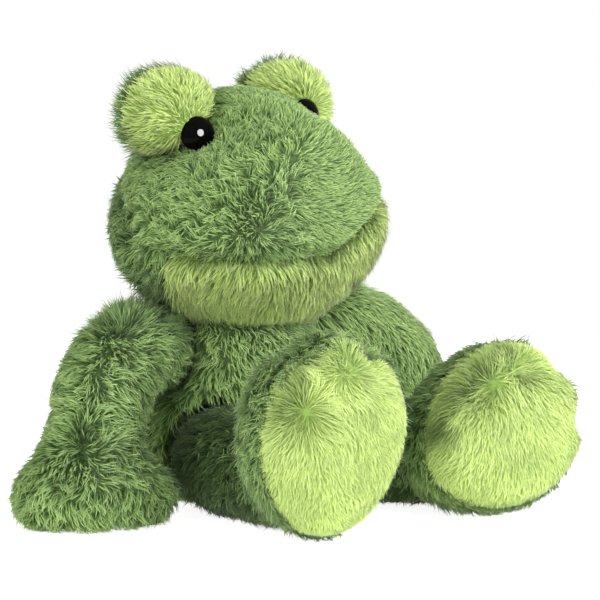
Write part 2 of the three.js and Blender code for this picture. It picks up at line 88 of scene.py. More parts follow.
PELLET_SIZE, PELLET_REACH, PELLET_BUMP, BAG_DEPTH = 4.5, 2.2, 0.9, 1.4

SIDES = {"right": -1, "left": 1}  # the sign of X on each side
SNOUT_WHORL = (-39.0, -60.0, 147.0)  # the pile of the snout lies away from here
BROW_WHORL = (-18.7, -59.0, 181.7)
FOREHEAD = (2.0, -44.0, 208.0)  # the pile lies close here, and the left eye shows over it
SNOUT_CREASE = ((-11.5, -66.0, 165.0), (-7.8, -66.0, 145.0), (-2.0, -64.0, 131.0))
CHEEK_FOLD = ((-43.1, 44.1, 169.5), (-71.3, 4.2, 141.6), (-60.0, 4.0, 118.0))
EYES = {"right": (-35.5, -5.5, 191.0), "left": (35.5, -5.5, 196.0)}
EYE_TURN, EYE_RISE = 16, 4  # degrees that an eye looks outwards and up
EYE_RADIUS, EYE_HEIGHT = 9.0, 6.0
EYE_CLEARING, EYE_REACH = 8.3, 14  # no strand grows this near to an eye's axis, within this length along it
MOUTH_FRONT, MOUTH_HEIGHT, MOUTH_RISE = -65, 131.0, 0.05
SMILE_START, SMILE_RISE = 8.0, 0.55  # the mouth's left end climbs from here
EYE_DENT = {"right": 2, "left": 6}  # depth that each eye presses into the head
MOUTH_DENT, MOUTH_WIDTH = 4.6, 4.2
MUZZLE_BULGE, MUZZLE_ABOVE, MUZZLE_WIDTH = 1.8, 9, 6  # swell of the muzzle over the mouth
TOE_DIMPLES = {
    "right": ((-81.4, -140.2, 65.0), (-50.0, -145.0, 93.0)),
    "left": ((50.0, -128.0, 68.0), (78.0, -130.0, 79.0)),
}
TOE_CREASES = {
    "right": (
        ((-60.0, -120.0, 101.0), (-58.0, -137.0, 97.0), (-52.0, -145.0, 92.0)),
        ((-30.0, -120.0, 100.0), (-33.0, -146.0, 88.0)),
    ),
    "left": (((118.0, -100.0, 66.0), (108.0, -136.0, 62.0)), ((120.0, -104.0, 42.0), (108.0, -138.0, 44.0))),
}
SOLE_SHADE_EDGES = {  # painted shade darkens the sole's pile past this line, where the shadowed side of the foot shows
    "right": ((-79.5, -141.2, 71.6), (-73.1, -142.4, 82.6), (-60.4, -137.2, 93.4)),
    "left": ((25.2, -124.5, 44.6), (33.9, -126.6, 57.5), (45.8, -128.2, 66.6), (70.4, -127.3, 80.3)),
}
SHADED_HOLLOWS = {  # painted shade in the hollows where the pile of sole and leg meets
    "right": (-58.1, -136.7, 97.5), "left": (27.3, -125.8, 49.6),
}
ARM_LINES = {
    "right": ((-60.0, 8.0, 112.0), (-72.5, 2.9, 106.5), (-111.8, -18.9, 74.7), (-130.9, -29.8, 42.7)),
    "left": ((64.0, 8.0, 112.0), (82.0, 0.0, 104.0), (122.0, -8.0, 74.0), (143.0, -12.0, 42.0)),
}
ARM_WHORLS = {"right": ((-84.8, -7.7, 99.5), (-130.3, -29.8, 43.6)), "left": ()}  # the left arm's pile lies smooth
TUCKS = {"right": (-57.0, 3.0, 108.5), "left": (60.0, 3.0, 108.5)}  # where cheek and shoulder pile meet
TUCK_REACH, TUCK_RISE = 19, 26  # the reach of a tuck, and how many degrees more upright the pile stands there
WHORL_REACH = 17
FINGER_CREASES = {
    "right": (((-133.7, -26.9, 40.6), (-133.9, -25.3, 3.2)), ((-112.1, -40.6, 37.6), (-110.3, -36.4, 2.0))),
    "left": (((146.0, -10.0, 40.0), (147.0, -8.0, 3.0)), ((123.0, -22.0, 38.0), (121.0, -20.0, 2.0))),
}

FORMS = {
    "head": dict(
        body="head", filling=["head_stuffing"],
        panels=["head_back_panel", "head_gusset", "head_side_panel_right", "head_side_panel_left", "lip_panel"],
    ),
    "torso": dict(
        body="torso", filling=["torso_stuffing", "seat_pellet_pouch"],
        panels=["torso_front_panel", "torso_back_panel"],
    ),
}
for side in SIDES:
    FORMS[f"eye_dome_{side}"] = dict(
        body="head", filling=[f"eye_dome_stuffing_{side}"],
        panels=[f"eye_dome_front_{side}", f"eye_dome_back_{side}"],
    )
    FORMS[f"arm_{side}"] = dict(
        body=f"arm_{side}", filling=[f"arm_stuffing_{side}"],
        panels=[f"arm_outer_panel_{side}", f"arm_inner_panel_{side}"],
    )
    FORMS[f"leg_{side}"] = dict(
        body=f"leg_{side}", filling=[f"leg_stuffing_{side}"],
        panels=[f"leg_outer_panel_{side}", f"leg_inner_panel_{side}", f"sole_panel_{side}"],
    )


# Points, lengths and directions

def unit(v):
    """Each row divided by its own length."""
    return v / np.maximum(np.linalg.norm(v, axis=-1, keepdims=True), 1e-9)


def heading_to(turn, rise):
    """The direction turned by so many degrees from the front to the toy's left, and raised by so many."""
    turn, rise = math.radians(turn), math.radians(rise)
    return np.array([math.sin(turn) * math.cos(rise), -math.cos(turn) * math.cos(rise), math.sin(rise)])


def across(v, normals):
    """Each direction less its part along the normal, brought to length one."""
    return unit(v - (v * normals).sum(-1, keepdims=True) * normals)


def bell(value, width):
    """A bell: e to the power of minus the squared value over the squared width."""
    return np.exp(-((value / width) ** 2))


def near(points, centre, reach):
    """The bell of the distance from a centre."""
    return np.exp(-((points - np.asarray(centre)) ** 2).sum(-1) / reach**2)


def bells(points, centres, reach):
    """The sum of the bells about several centres."""
    return sum(near(points, centre, reach) for centre in centres)


def to_line(points, line):
    """Distance from each point to a broken line, and the nearest point of the line."""
    line = np.asarray(line, float)
    start, step = line[:-1], np.diff(line, axis=0)
    share = ((points[:, None] - start) * step).sum(-1) / (step**2).sum(-1)
    spots = start + np.clip(share, 0, 1)[..., None] * step
    far = np.linalg.norm(points[:, None] - spots, axis=-1)
    best = far.argmin(1)
    rows = np.arange(len(points))
    return far[rows, best], spots[rows, best]


def groove(points, line, width):
    """The bell of the distance from a broken line."""
    return bell(to_line(points, line)[0], width)


def scatter_number(cells, seed):
    """A steady number from 0 to 1 for each whole-number cell, mixed from its coordinates and the seed."""
    cells = cells.astype(np.int64)
    h = cells[..., 0] * 73856093 ^ cells[..., 1] * 19349663 ^ cells[..., 2] * 83492791 ^ (seed * 2654435761)
    h &= 0xFFFFFFFF
    for shift, factor in ((15, 0x2C1B3C6D), (12, 0x297A2D39), (15, 1)):
        h ^= h >> shift
        h = (h * factor) & 0xFFFFFFFF
    return h / 4294967295.0


def mottle(points, size, seed):
    """Slow change from place to place: the numbers of a lattice's eight nearest corners, weighted by smoothed
    shares of the way between them, from 0 to 1."""
    p = points / size
    cell = np.floor(p)
    f = p - cell
    f = f * f * (3 - 2 * f)
    total = np.zeros(len(points))
    for corner in np.ndindex(2, 2, 2):
        c = np.array(corner)
        total += np.where(c, f, 1 - f).prod(-1) * scatter_number(cell + c, seed)
    return total


def nearest_seed(points, size, seed):
    """One seed is scattered in each cube of a lattice. For each point: its nearest seed, and that seed's own
    number."""
    cell = np.floor(points / size)
    best = np.full(len(points), np.inf)
    spot, number = np.zeros_like(points), np.zeros(len(points))
    for step in np.ndindex(3, 3, 3):
        c = cell + np.array(step) - 1
        place = (c + np.stack([scatter_number(c, seed + k) for k in range(3)], -1)) * size
        far = ((points - place) ** 2).sum(-1)
        closer = far < best
        best = np.where(closer, far, best)
        spot = np.where(closer[:, None], place, spot)
        number = np.where(closer, scatter_number(c, seed + 3), number)
    return spot, number


# Meshes

def mesh_of(name, points, faces, uv=None, normals=None):
    """A mesh from millimetre points and faces that all have the same number of corners, smooth-shaded."""
    mesh = bpy.data.meshes.new(name)
    mesh.vertices.add(len(points))
    mesh.vertices.foreach_set("co", (np.asarray(points) * MM).astype(np.float32).ravel())
    mesh.loops.add(faces.size)
    mesh.loops.foreach_set("vertex_index", faces.astype(np.int32).ravel())
    mesh.polygons.add(len(faces))
    mesh.polygons.foreach_set("loop_start", np.arange(0, faces.size, faces.shape[1], dtype=np.int32))
    mesh.update(calc_edges=True)
    mesh.polygons.foreach_set("use_smooth", np.ones(len(faces), bool))
    if uv is not None:
        layer = mesh.uv_layers.new(name="OFBake")
        layer.data.foreach_set("uv", uv[faces.ravel()].astype(np.float32).ravel())
    if normals is not None:
        mesh.normals_split_custom_set_from_vertices(normals.astype(np.float32).tolist())
    return mesh


def read_mesh(mesh):
    """Millimetre points and faces of a mesh whose faces all have the same number of corners."""
    co = np.empty(len(mesh.vertices) * 3, np.float32)
    mesh.vertices.foreach_get("co", co)
    index = np.empty(len(mesh.loops), np.int32)
    mesh.loops.foreach_get("vertex_index", index)
    corners = len(mesh.loops) // max(len(mesh.polygons), 1)
    return co.reshape(-1, 3).astype(float) / MM, index.reshape(-1, corners)


def welded(node):
    """Points and triangles of a CAD node, with its loose triangles joined at their shared corners."""
    points, triangles = read_mesh(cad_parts[node].data)
    _, first, back = np.unique(np.round(points, 3), axis=0, return_index=True, return_inverse=True)
    return points[first], back.reshape(-1)[triangles]


def triangles_of(quads):
    """Each quad as two triangles."""
    return np.concatenate([quads[:, [0, 1, 2]], quads[:, [0, 2, 3]]])


def point_normals(points, faces):
    """The normal of each point: the sum of its faces' area vectors, brought to length one."""
    triangles = faces if faces.shape[1] == 3 else triangles_of(faces)
    a, b, c = (points[triangles[:, k]] for k in range(3))
    area = np.cross(b - a, c - a)
    total = np.stack([
        sum(np.bincount(triangles[:, k], area[:, axis], len(points)) for k in range(3)) for axis in range(3)
    ], -1)
    return unit(total)


def edges_of(faces):
    """Every edge of the faces once."""
    pairs = np.concatenate([faces[:, [k, (k + 1) % faces.shape[1]]] for k in range(faces.shape[1])])
    return np.unique(np.sort(pairs, axis=1), axis=0)


def neighbour_mean(values, edges, count):
    """For each point, the mean of the values at the other ends of its edges."""
    ends, others = edges.ravel("F"), edges[:, ::-1].ravel("F")
    degree = np.maximum(np.bincount(ends, minlength=count), 1)
    if values.ndim == 1:
        return np.bincount(ends, values[others], count) / degree
    totals = [np.bincount(ends, values[others, k], count) for k in range(values.shape[1])]
    return np.stack(totals, -1) / degree[:, None]


def smoothed(points, edges, rounds):
    """Facets smoothed away without shrinking: half a step towards the mean of the neighbours, then a little
    more than half a step away from it, over and over."""
    for step in (0.5, -0.52) * rounds:
        points = points + step * (neighbour_mean(points, edges, len(points)) - points)
    return points


def largest_skin(points, faces):
    """Only the biggest connected skin: each point takes the lowest number among its neighbours until none changes."""
    edges = edges_of(faces)
    label = np.arange(len(points))
    while True:
        low = label.copy()
        np.minimum.at(low, edges[:, 0], label[edges[:, 1]])
        np.minimum.at(low, edges[:, 1], label[edges[:, 0]])
        low = low[low]
        if (low == label).all():
            break
        label = low
    keep = label == np.bincount(label).argmax()
    number = np.cumsum(keep) - 1
    return points[keep], number[faces[keep[faces].all(1)]]


def with_modifier(points, faces, kind, settings, frames=0):
    """The mesh after one modifier with these settings. With frames, the scene first steps through them, so that a
    simulation runs."""
    obj = bpy.data.objects.new("form", mesh_of("form", points, faces))
    scene.collection.objects.link(obj)
    modifier = obj.modifiers.new(kind, kind)
    settings(modifier)
    for number in range(1, frames + 1):
        scene.frame_set(number)
    graph = bpy.context.evaluated_depsgraph_get()
    result = bpy.data.meshes.new_from_object(obj.evaluated_get(graph))
    found = read_mesh(result)
    bpy.data.objects.remove(obj)
    bpy.data.meshes.remove(result)
    return found


def lattice(size):
    """Settings that rebuild a form on a lattice of cells of this size."""
    def settings(modifier):
        modifier.mode = "VOXEL"
        modifier.voxel_size = size * MM
    return settings


def filling(modifier):
    """Settings of a cloth that is filled by an even pressure, without weight."""
    modifier.settings.use_pressure = True
    modifier.settings.uniform_pressure_force = 4
    modifier.settings.effector_weights.gravity = 0
    modifier.point_cache.frame_end = FILLING_FRAMES


def one_level(modifier):
    """Settings that divide every face once."""
    modifier.levels = modifier.render_levels = 1


def depth_under(tree, points):
    """How far each point lies under a skin, with the nearest place on the skin and the normal there."""
    found = [tree.find_nearest(Vector(p)) for p in points]
    place, normal = np.array([f[0] for f in found]), np.array([f[1] for f in found])
    return ((place - points) * normal).sum(-1), place, normal


def drawn_in(points, quads, depth, skin, skin_quads):
    """Points moved in along their normals by a depth. Where a thin fold leaves a point outside the skin, or nearer
    to it than three quarters of the least depth, the point moves to the mean of its neighbours, over and over, so
    that the fold goes."""
    tree = BVHTree.FromPolygons(skin.tolist(), skin_quads.tolist())
    edges = edges_of(quads)
    inner = points - point_normals(points, quads) * np.reshape(depth, (-1, 1))
    for _ in range(FOLD_ROUNDS):
        shallow = depth_under(tree, inner)[0] < 0.75 * np.min(depth)
        if not shallow.any():
            break
        for _ in range(3):
            inner = np.where(shallow[:, None], neighbour_mean(inner, edges, len(inner)), inner)
    return inner


def filled(points, faces):
    """The skin pushed out by its filling under cloth simulation. No point moves further than FILL_SWELL, and what
    remains of the move is evened out between neighbours."""
    pushed, _ = with_modifier(points, faces, "CLOTH", filling, FILLING_FRAMES)
    scene.frame_set(1)
    move = pushed - points
    size = np.linalg.norm(move, axis=-1, keepdims=True)
    move *= np.minimum(1, FILL_SWELL / np.maximum(size, 1e-6))
    edges = edges_of(faces)
    for _ in range(3):
        move = 0.5 * move + 0.5 * neighbour_mean(move, edges, len(points))
    return points + move


# Dents that the sewing pulls into the stuffed forms

def mouth_level(points):
    """Height of the mouth line at each point: it rises slowly towards the back, and climbs at its left end."""
    rise = MOUTH_RISE * (points[:, 1] - MOUTH_FRONT)
    return MOUTH_HEIGHT + rise + SMILE_RISE * np.maximum(points[:, 0] - SMILE_START, 0)


# For each form: the shape, place, depth and reach of each dent. A negative depth is a swell.
DENTS = {
    "head": [
        (groove, SNOUT_CREASE, 1.6, 5), (near, SNOUT_WHORL, 2.2, 9), (near, FOREHEAD, 2.8, 18),
        (groove, CHEEK_FOLD, 2.0, 6),
    ],
    "torso": [],
}
for side in SIDES:
    DENTS["head"].append((near, EYES[side], EYE_DENT[side], 17))
    DENTS[f"eye_dome_{side}"] = [(near, EYES[side], -3.2, 16)]  # around the eye, to cover its washer
    DENTS[f"leg_{side}"] = [(near, dimple, 6.5, 8.5) for dimple in TOE_DIMPLES[side]]
    DENTS[f"leg_{side}"] += [(groove, crease, 3.0, 4.5) for crease in TOE_CREASES[side]]
    DENTS[f"arm_{side}"] = [(near, ARM_LINES[side][-1], 4.0, 11)]
    DENTS[f"arm_{side}"] += [(groove, crease, 2.6, 5) for crease in FINGER_CREASES[side]]


def dents(form, points):
    """How deep the sewing pulls in each point of a form. The head also has its mouth, and a swell above it."""
    depth = np.zeros(len(points))
    if form == "head":
        front = np.clip((-points[:, 1] - 12) / 20, 0, 1)
        gap = points[:, 2] - mouth_level(points)
        depth += MOUTH_DENT * front * bell(gap, MOUTH_WIDTH)
        depth -= MUZZLE_BULGE * front * bell(gap - MUZZLE_ABOVE, MUZZLE_WIDTH)
    for shape, place, deep, reach in DENTS[form]:
        depth += deep * shape(points, place, reach)
    return depth


def stuffed_form(form):
    """Skin of a stuffed form: the panels and the filling are grown until their seams close, rebuilt on a lattice of
    cells, smoothed, drawn in by the depth of the pile, pushed out by the filling, divided once and dented. The core
    is the same skin before its last division."""
    points, triangles, count = [], [], 0
    for node in FORMS[form]["panels"] + FORMS[form]["filling"]:
        p, t = welded(node)
        points.append(p + point_normals(p, t) * SEAM_CLOSING)
        triangles.append(t + count)
        count += len(p)
    points, quads = with_modifier(np.concatenate(points), np.concatenate(triangles), "REMESH", lattice(FORM_CELL))
    points, quads = largest_skin(points, quads)
    points = smoothed(points, edges_of(quads), SKIN_ROUNDS)
    points = drawn_in(points, quads, PILE_DEPTH + SEAM_CLOSING + USUAL_SWELL, points, quads)
    points = smoothed(points, edges_of(quads), CLOTH_ROUNDS)
    core = points = filled(points, quads)
    points, fine_quads = with_modifier(points, quads, "SUBSURF", one_level)
    points -= point_normals(points, fine_quads) * dents(form, points)[:, None]
    points[:, 2] = np.maximum(points[:, 2], LOWEST_CLOTH)
    return points, fine_quads, core, quads


def panel_of_faces(form, points, quads):
    """For each face, the panel whose solid lies nearest to its middle. Single stray faces join their neighbours."""
    panels = FORMS[form]["panels"]
    middle = points[quads].mean(1)
    far = []
    for node in panels:
        p, t = welded(node)
        tree = BVHTree.FromPolygons(p.tolist(), t.tolist())
        far.append([tree.find_nearest(Vector(m))[3] for m in middle])
    far = np.array(far).T
    corner = np.stack([
        np.bincount(quads.ravel(), np.repeat(far[:, k], 4), len(points)) for k in range(len(panels))
    ], -1)
    corner /= np.bincount(quads.ravel(), minlength=len(points))[:, None]
    return corner[quads].mean(1).argmin(1)


# Lie of the pile: the direction in which each strand leans, and how many degrees it leans from the normal

def away(points, centre, power):
    """Directions away from a centre, weaker with distance to the given power."""
    gap = points - np.asarray(centre)
    size = np.maximum(np.linalg.norm(gap, axis=-1, keepdims=True), 1.0)
    return gap / size ** (1 + power)


def head_lie(points):
    """Away from the snout and brow whorls, and backwards and down behind them. The smooth gusset and left side lie
    flat."""
    snout, brow = away(points, SNOUT_WHORL, 0), away(points, BROW_WHORL, 1) * 5
    back = np.clip((points[:, 1:2] + 25) / 40, 0, 1)
    flow = snout * (1 - 0.8 * back) + brow + back * np.array([0, 0.7, -0.75])
    gap = np.linalg.norm(points - np.array(SNOUT_WHORL), axis=-1)
    lean = 24 + 36 * np.clip(gap / 34, 0, 1)
    return flow, np.where(np.abs(points[:, 0] - 22) < 30, np.maximum(lean, 62), lean)


def lip_lie(points):
    """Down, and a little outwards."""
    flow = np.array([0, 0.1, -1.0]) + points * np.array([0.006, 0, 0])
    return flow, np.full(len(points), 58.0)


def eye_axis(side):
    """The way that an eye looks: forward, turned outwards and up."""
    return heading_to(SIDES[side] * EYE_TURN, EYE_RISE)


def dome_lie(side):
    """Away from the eye, and most upright close to it and on the back of the dome."""
    def lie(points):
        flow = away(points, EYES[side], 0) + np.array([0, 0.25, -0.1])
        behind = np.clip((points[:, 1] - 12) / 8, 0, 1)
        return flow, 58 - 34 * near(points, EYES[side], 11) - 22 * behind
    return lie


def torso_lie(points):
    """Down, and a little to the toy's left."""
    flow = np.array([0.28, 0, -1.0]) + 0 * points
    return flow, np.full(len(points), 56.0)


def arm_lie(side):
    """Outwards and along the arm, down on the paw, and on the right arm away from its whorls."""
    along = unit(np.array(ARM_LINES[side][-1]) - np.array(ARM_LINES[side][1]))

    def lie(points):
        gap, spot = to_line(points, ARM_LINES[side])
        paw = np.clip((46 - points[:, 2:3]) / 30, 0, 1)
        if side == "left":
            flow = (0.25 * unit(points - spot) + 1.1 * along) * (1 - paw) + paw * np.array([0, 0, -0.9])
            return flow, np.full(len(points), 68.0)
        whorls = sum(away(points, whorl, 1) for whorl in ARM_WHORLS[side]) * 26
        flow = 0.7 * unit(points - spot) * (1 - paw) + whorls + 0.5 * along * (1 - paw) + paw * np.array([0, 0, -0.9])
        standing = bells(points, ARM_WHORLS[side], WHORL_REACH)
        return flow, 58 - 10 * bell(gap, 10) - 24 * np.clip(standing, 0, 1)
    return lie


def leg_lie(side):
    """Down, and away from the sole."""
    sole = welded(f"sole_panel_{side}")[0].mean(0)

    def lie(points):
        flow = np.array([0, -0.35, -0.9]) + 0.6 * unit(points - sole) * np.array([1, 1, 0.6])
        return flow, np.full(len(points), 52.0)
    return lie


def sole_lie(side):
    """Away from the toe dimples, and flat but for them."""
    def lie(points):
        flow = sum(away(points, dimple, 1) for dimple in TOE_DIMPLES[side]) * 30
        flow = flow + np.array([0, 0, -0.25])
        return flow, 79 - 26 * np.clip(bells(points, TOE_DIMPLES[side], 12), 0, 1)
    return lie


# For each panel: the lie of its pile, the length of a strand, how far strands gather into locks, its tone and how
# ruffled it is. The torso front's full tone is partly painted light, as little lamp light reaches it.
PILE = {
    "head_back_panel": (head_lie, 7.5, 0.50, 0.58, 0.9),
    "head_gusset": (head_lie, 5.6, 0.25, 0.84, 0.05),
    "head_side_panel_right": (head_lie, 6.4, 0.50, 0.72, 1.0),
    "head_side_panel_left": (head_lie, 5.6, 0.25, 0.86, 0.05),
    "lip_panel": (lip_lie, 8.0, 0.40, 0.60, 0.3),
    # painted light: the torso front is toned up to full
    "torso_front_panel": (torso_lie, 8.0, 0.50, 1.00, 0.6),
    "torso_back_panel": (torso_lie, 8.5, 0.50, 0.64, 0.6),
}
ARM_PILE = {"right": (8.4, 0.55, 0.76, 0.8), "left": (7.5, 0.35, 0.80, 0.15)}
# Painted light on the arms, most on the left one
ARM_PAINTED_LIGHT = {"right": 0.06, "left": 0.24}  # the left arm takes more of the light
for side in SIDES:
    PILE[f"eye_dome_front_{side}"] = (dome_lie(side), 7.0, 0.40, 0.68, 0.3)
    PILE[f"eye_dome_back_{side}"] = (dome_lie(side), 10.5, 0.50, 0.64, 0.6)
    PILE[f"arm_outer_panel_{side}"] = PILE[f"arm_inner_panel_{side}"] = (arm_lie(side), *ARM_PILE[side])
    PILE[f"leg_outer_panel_{side}"] = (leg_lie(side), 8.5, 0.55, 0.70, 1.0)
    PILE[f"leg_inner_panel_{side}"] = (leg_lie(side), 8.5, 0.55, 0.68, 1.0)
    PILE[f"sole_panel_{side}"] = (sole_lie(side), 8.5, 0.20, 0.68, 0.0)


def place_tone_and_painted_light(node, points):
    """How much lighter or darker than its panel the pile is at each place, most of it painted light and shade:
    painted light low on the lip and on the arms, and painted shade at the mouth under the overhanging pile, on a leg
    behind its foot, in the dimples and hollows, over the edge of a sole, at the fold on the outer side of an eye dome
    and where the pile parts at the whorls. The paws are lighter low down, and the right side of the head is lighter
    but for its snout whorl."""
    shift = np.zeros(len(points))
    over_mouth = points[:, 2] - mouth_level(points)
    if node == "head_side_panel_right":
        # Painted shade under the pile that overhangs the mouth
        shift -= 0.3 * bell(over_mouth, 3)
        # Lighter over the whole panel, with painted shade where the pile parts at the snout whorl
        shift += 0.25 - 0.16 * near(points, SNOUT_WHORL, 18)
    if node == "lip_panel":
        # Painted shade just under the mouth line, and painted light low on the lip, where it faces down
        shift -= 0.3 * bell(over_mouth, 2.5)
        shift += 0.1 * np.clip((116 - points[:, 2]) / 12, 0, 1)
    if node.startswith("leg"):
        # Painted shade on the leg behind its foot, under the belly, and the front of the foot lighter
        shift += 0.2 - 0.7 * np.clip((points[:, 1] + 94) / 18, 0, 1)
    for side in SIDES:
        if node.startswith("arm") and node.endswith(side):
            # Painted light on the arms, lighter low on the paws, and painted shade where the pile parts at the whorls
            shift += ARM_PAINTED_LIGHT[side] + 0.1 * np.clip((44 - points[:, 2]) / 24, 0, 1)
            shift -= 0.26 * bells(points, ARM_WHORLS[side], WHORL_REACH)
        if node == f"eye_dome_front_{side}":
            # Painted shade at the fold where the dome's outer side meets the head
            outer = (SIDES[side] * 60, 12, 186)
            shift -= 0.22 * near(points, outer, 15)
        if node == f"sole_panel_{side}":
            # Painted shade in the toe dimples, past the edge of the sole where the foot's shadowed side shows, and in
            # the hollows
            shift -= 0.42 * bells(points, TOE_DIMPLES[side], 9)
            gap, spot = to_line(points, SOLE_SHADE_EDGES[side])
            over = np.clip(((points - spot) @ np.array([-0.5, 0.53, 0.7])) / 5 + 0.3, 0, 1)
            shift -= 0.4 * over * np.exp(-((gap / 15) ** 4)) + 0.5 * near(points, SHADED_HOLLOWS[side], 7)
    return shift


BENT_FACES = [
    [0, 2, 1], [0, 1, 3], [1, 4, 3], [1, 2, 4], [2, 5, 4], [2, 0, 5], [0, 3, 5], [3, 4, 6], [4, 5, 6], [5, 3, 6],
]
STRAIGHT_FACES = [[0, 2, 1], [0, 1, 3], [1, 2, 3], [2, 0, 3]]


def strands(root, normal, lean_to, lean, length, width, tone, tip_shift, bent, soft):
    """Strands as closed three-sided spikes. A bent one goes half its length at its lean from the normal, and half
    leaning further. A straight one keeps its lean. The tip also moves by tip_shift, and the middle by less. A ring
    has three points, and is 0.8 times as wide half way as at the root. The map holds the strand's tone across and
    the way from root to tip up. The shading blends the rings' own normals with the cloth's by the soft share."""
    steep, low = np.radians(lean)[:, None], np.radians(np.minimum(lean * 1.35 + 6, 88))[:, None]
    first = np.cos(steep) * normal + np.sin(steep) * lean_to
    second = np.cos(low) * normal + np.sin(low) * lean_to
    half = length[:, None] / 2
    base = root - normal * 0.5
    if bent:
        middle = root + first * half + tip_shift * 0.4
        tip = root + (first + second) * half + tip_shift
        rings, pattern = [(base, first, 1.0), (middle, unit(first + second), 0.8)], BENT_FACES
    else:
        tip = root + first * length[:, None] + tip_shift
        rings, pattern = [(base, first, 1.0)], STRAIGHT_FACES
    ring, own = [], []
    for centre, heading, share in rings:
        side = unit(np.cross(heading, normal))
        out = np.cross(heading, side)
        radius = (width * share * 0.5)[:, None]
        for angle in np.radians([90, 210, 330]):
            place = centre + (side * math.cos(angle) + out * math.sin(angle) * 0.7) * radius
            ring.append(place)
            own.append((place - centre) / radius)
    points = np.stack(ring + [tip], 1)
    count = points.shape[1]
    faces = (np.arange(len(root))[:, None, None] * count + np.array(pattern)).reshape(-1, 3)
    spread = np.append(np.tile([0, 0.012, -0.012], len(rings)), 0)
    u = np.clip(tone[:, None] + spread, 0.01, 0.99)
    v = np.broadcast_to(np.append(np.repeat([0.02, 0.5][: len(rings)], 3), 0.98), u.shape)
    shade = unit(soft * normal[:, None] + (1 - soft) * np.stack(own + [second], 1))
    return points.reshape(-1, 3), faces, np.stack([u, v], -1).reshape(-1, 2), shade.reshape(-1, 3)


def scattered(points, triangles, density, rng):
    """Places spread evenly over triangles: equal steps of the running total of their areas, each with a random
    place inside its triangle. Returns the triangle and the three shares of its corners."""
    a, b, c = (points[triangles[:, k]] for k in range(3))
    total = np.cumsum(np.linalg.norm(np.cross(b - a, c - a), axis=-1) / 2)
    count = int(total[-1] * density)
    step = (np.arange(count) + rng.random(count)) * total[-1] / count
    which = np.minimum(np.searchsorted(total, step), len(triangles) - 1)
    r, s = np.sqrt(rng.random(count)), rng.random(count)
    return which, np.stack([1 - r, r * (1 - s), r * s], -1)


def cloth_patch(points, normals, quads):
    """A closed patch of cloth: the faces, the same faces turned over one cloth thickness further in, and a rim of
    faces along every edge that only one face has."""
    used, back = np.unique(quads, return_inverse=True)
    faces = back.reshape(quads.shape)
    count = len(used)
    directed = np.concatenate([faces[:, [k, (k + 1) % 4]] for k in range(4)])
    key, reverse = directed[:, 0] * count + directed[:, 1], directed[:, 1] * count + directed[:, 0]
    rim = directed[~np.isin(key, reverse)]
    walls = np.stack([rim[:, 1], rim[:, 0], rim[:, 0] + count, rim[:, 1] + count], -1)
    shell = np.concatenate([points[used], points[used] - normals[used] * CLOTH_THICKNESS])
    return shell, np.concatenate([faces, faces[:, ::-1] + count, walls])


def ready_forms():
    """Every form's skin with its normals, the panel of each face, and the room that each point has up to the other
    forms, which is none inside one of them."""
    skins = {}
    for form in FORMS:
        points, quads, core, core_quads = stuffed_form(form)
        skins[form] = {
            "points": points, "quads": quads, "normals": point_normals(points, quads),
            "panel": panel_of_faces(form, points, quads), "core": core, "core_quads": core_quads,
        }
    for form, skin in skins.items():
        others = [s for name, s in skins.items() if name != form]
        shifts = np.cumsum([0] + [len(s["points"]) for s in others])
        tree = BVHTree.FromPolygons(
            np.concatenate([s["points"] for s in others]).tolist(),
            np.concatenate([s["quads"] + shift for s, shift in zip(others, shifts)]).tolist(),
        )
        room = []
        for place, normal in zip(skin["points"], skin["normals"]):
            hit = tree.ray_cast(Vector(place - normal * SEARCH_FROM), Vector(normal), SEARCH_LENGTH)
            inside = hit[3] is not None and hit[1].dot(Vector(normal)) > 0
            room.append(SEARCH_LENGTH if hit[3] is None else 0.0 if inside else hit[3] - SEARCH_FROM)
        skin["room"] = np.array(room)
    return skins


def clear_of_eyes(root):
    """Which roots stand outside the discs that the eyes cover."""
    clear = np.ones(len(root), bool)
    for side in SIDES:
        gap = root - np.array(EYES[side])
        ahead = gap @ eye_axis(side)
        off = np.linalg.norm(gap - ahead[:, None] * eye_axis(side), axis=-1)
        clear &= (off > EYE_CLEARING) | (np.abs(ahead) > EYE_REACH)
    return clear


def combed(lie, root, normal, number, ruffle, bent, rng):
    """The direction in which each strand leans, and how far: the lie of the panel, turned from place to place by
    mottles and from clump to clump by the clump's number, and a little at random."""
    flow, lean = lie(root)
    flow = across(unit(flow), normal)
    turn = 0.9 * (mottle(root, 16, 5) - 0.5) + 0.7 * (mottle(root, 6, 6) - 0.5) + CLUMP_TURN * ruffle * (number - 0.5)
    flow = np.cos(turn)[:, None] * flow + np.sin(turn)[:, None] * np.cross(normal, flow)
    lean_to = across(flow + rng.normal(0, TURN_SCATTER, root.shape), normal)
    lean = (lean if bent else lean * 0.92) + rng.normal(0, LEAN_SCATTER, len(root))
    return lean_to, lean + CLUMP_LEAN * ruffle * ((number * 7.3) % 1 - 0.5)


def trimmed(node, length, root, lean, room, bent, rng):
    """The lean and length of each strand: longer and more upright where cheek and shoulder meet, short and flat
    where another form presses on it, and shorter around the eyes and on a sole away from its dimples."""
    long = length * (0.78 + 0.4 * rng.random(len(root))) * (0.88 + 0.24 * mottle(root, 14, 9))
    long *= 1 if bent else DOWN_LENGTH
    tucked = bells(root, TUCKS.values(), TUCK_REACH)
    long, lean = long * (1 + tucked), lean - TUCK_RISE * tucked
    pressed = (long * np.cos(np.radians(lean)) > room) & (tucked < 0.3)
    lean = np.where(pressed, np.maximum(lean, PRESSED_LEAN), lean)
    long = np.where(pressed, np.maximum(long / 2, PRESSED_LENGTH), long)
    for eye in EYES.values():
        long *= 1 - 0.3 * near(root, eye, 12)
    if node.startswith("sole"):
        long *= 0.72 + 0.3 * bells(root, sum(TOE_DIMPLES.values(), ()), 26)
    return lean, long


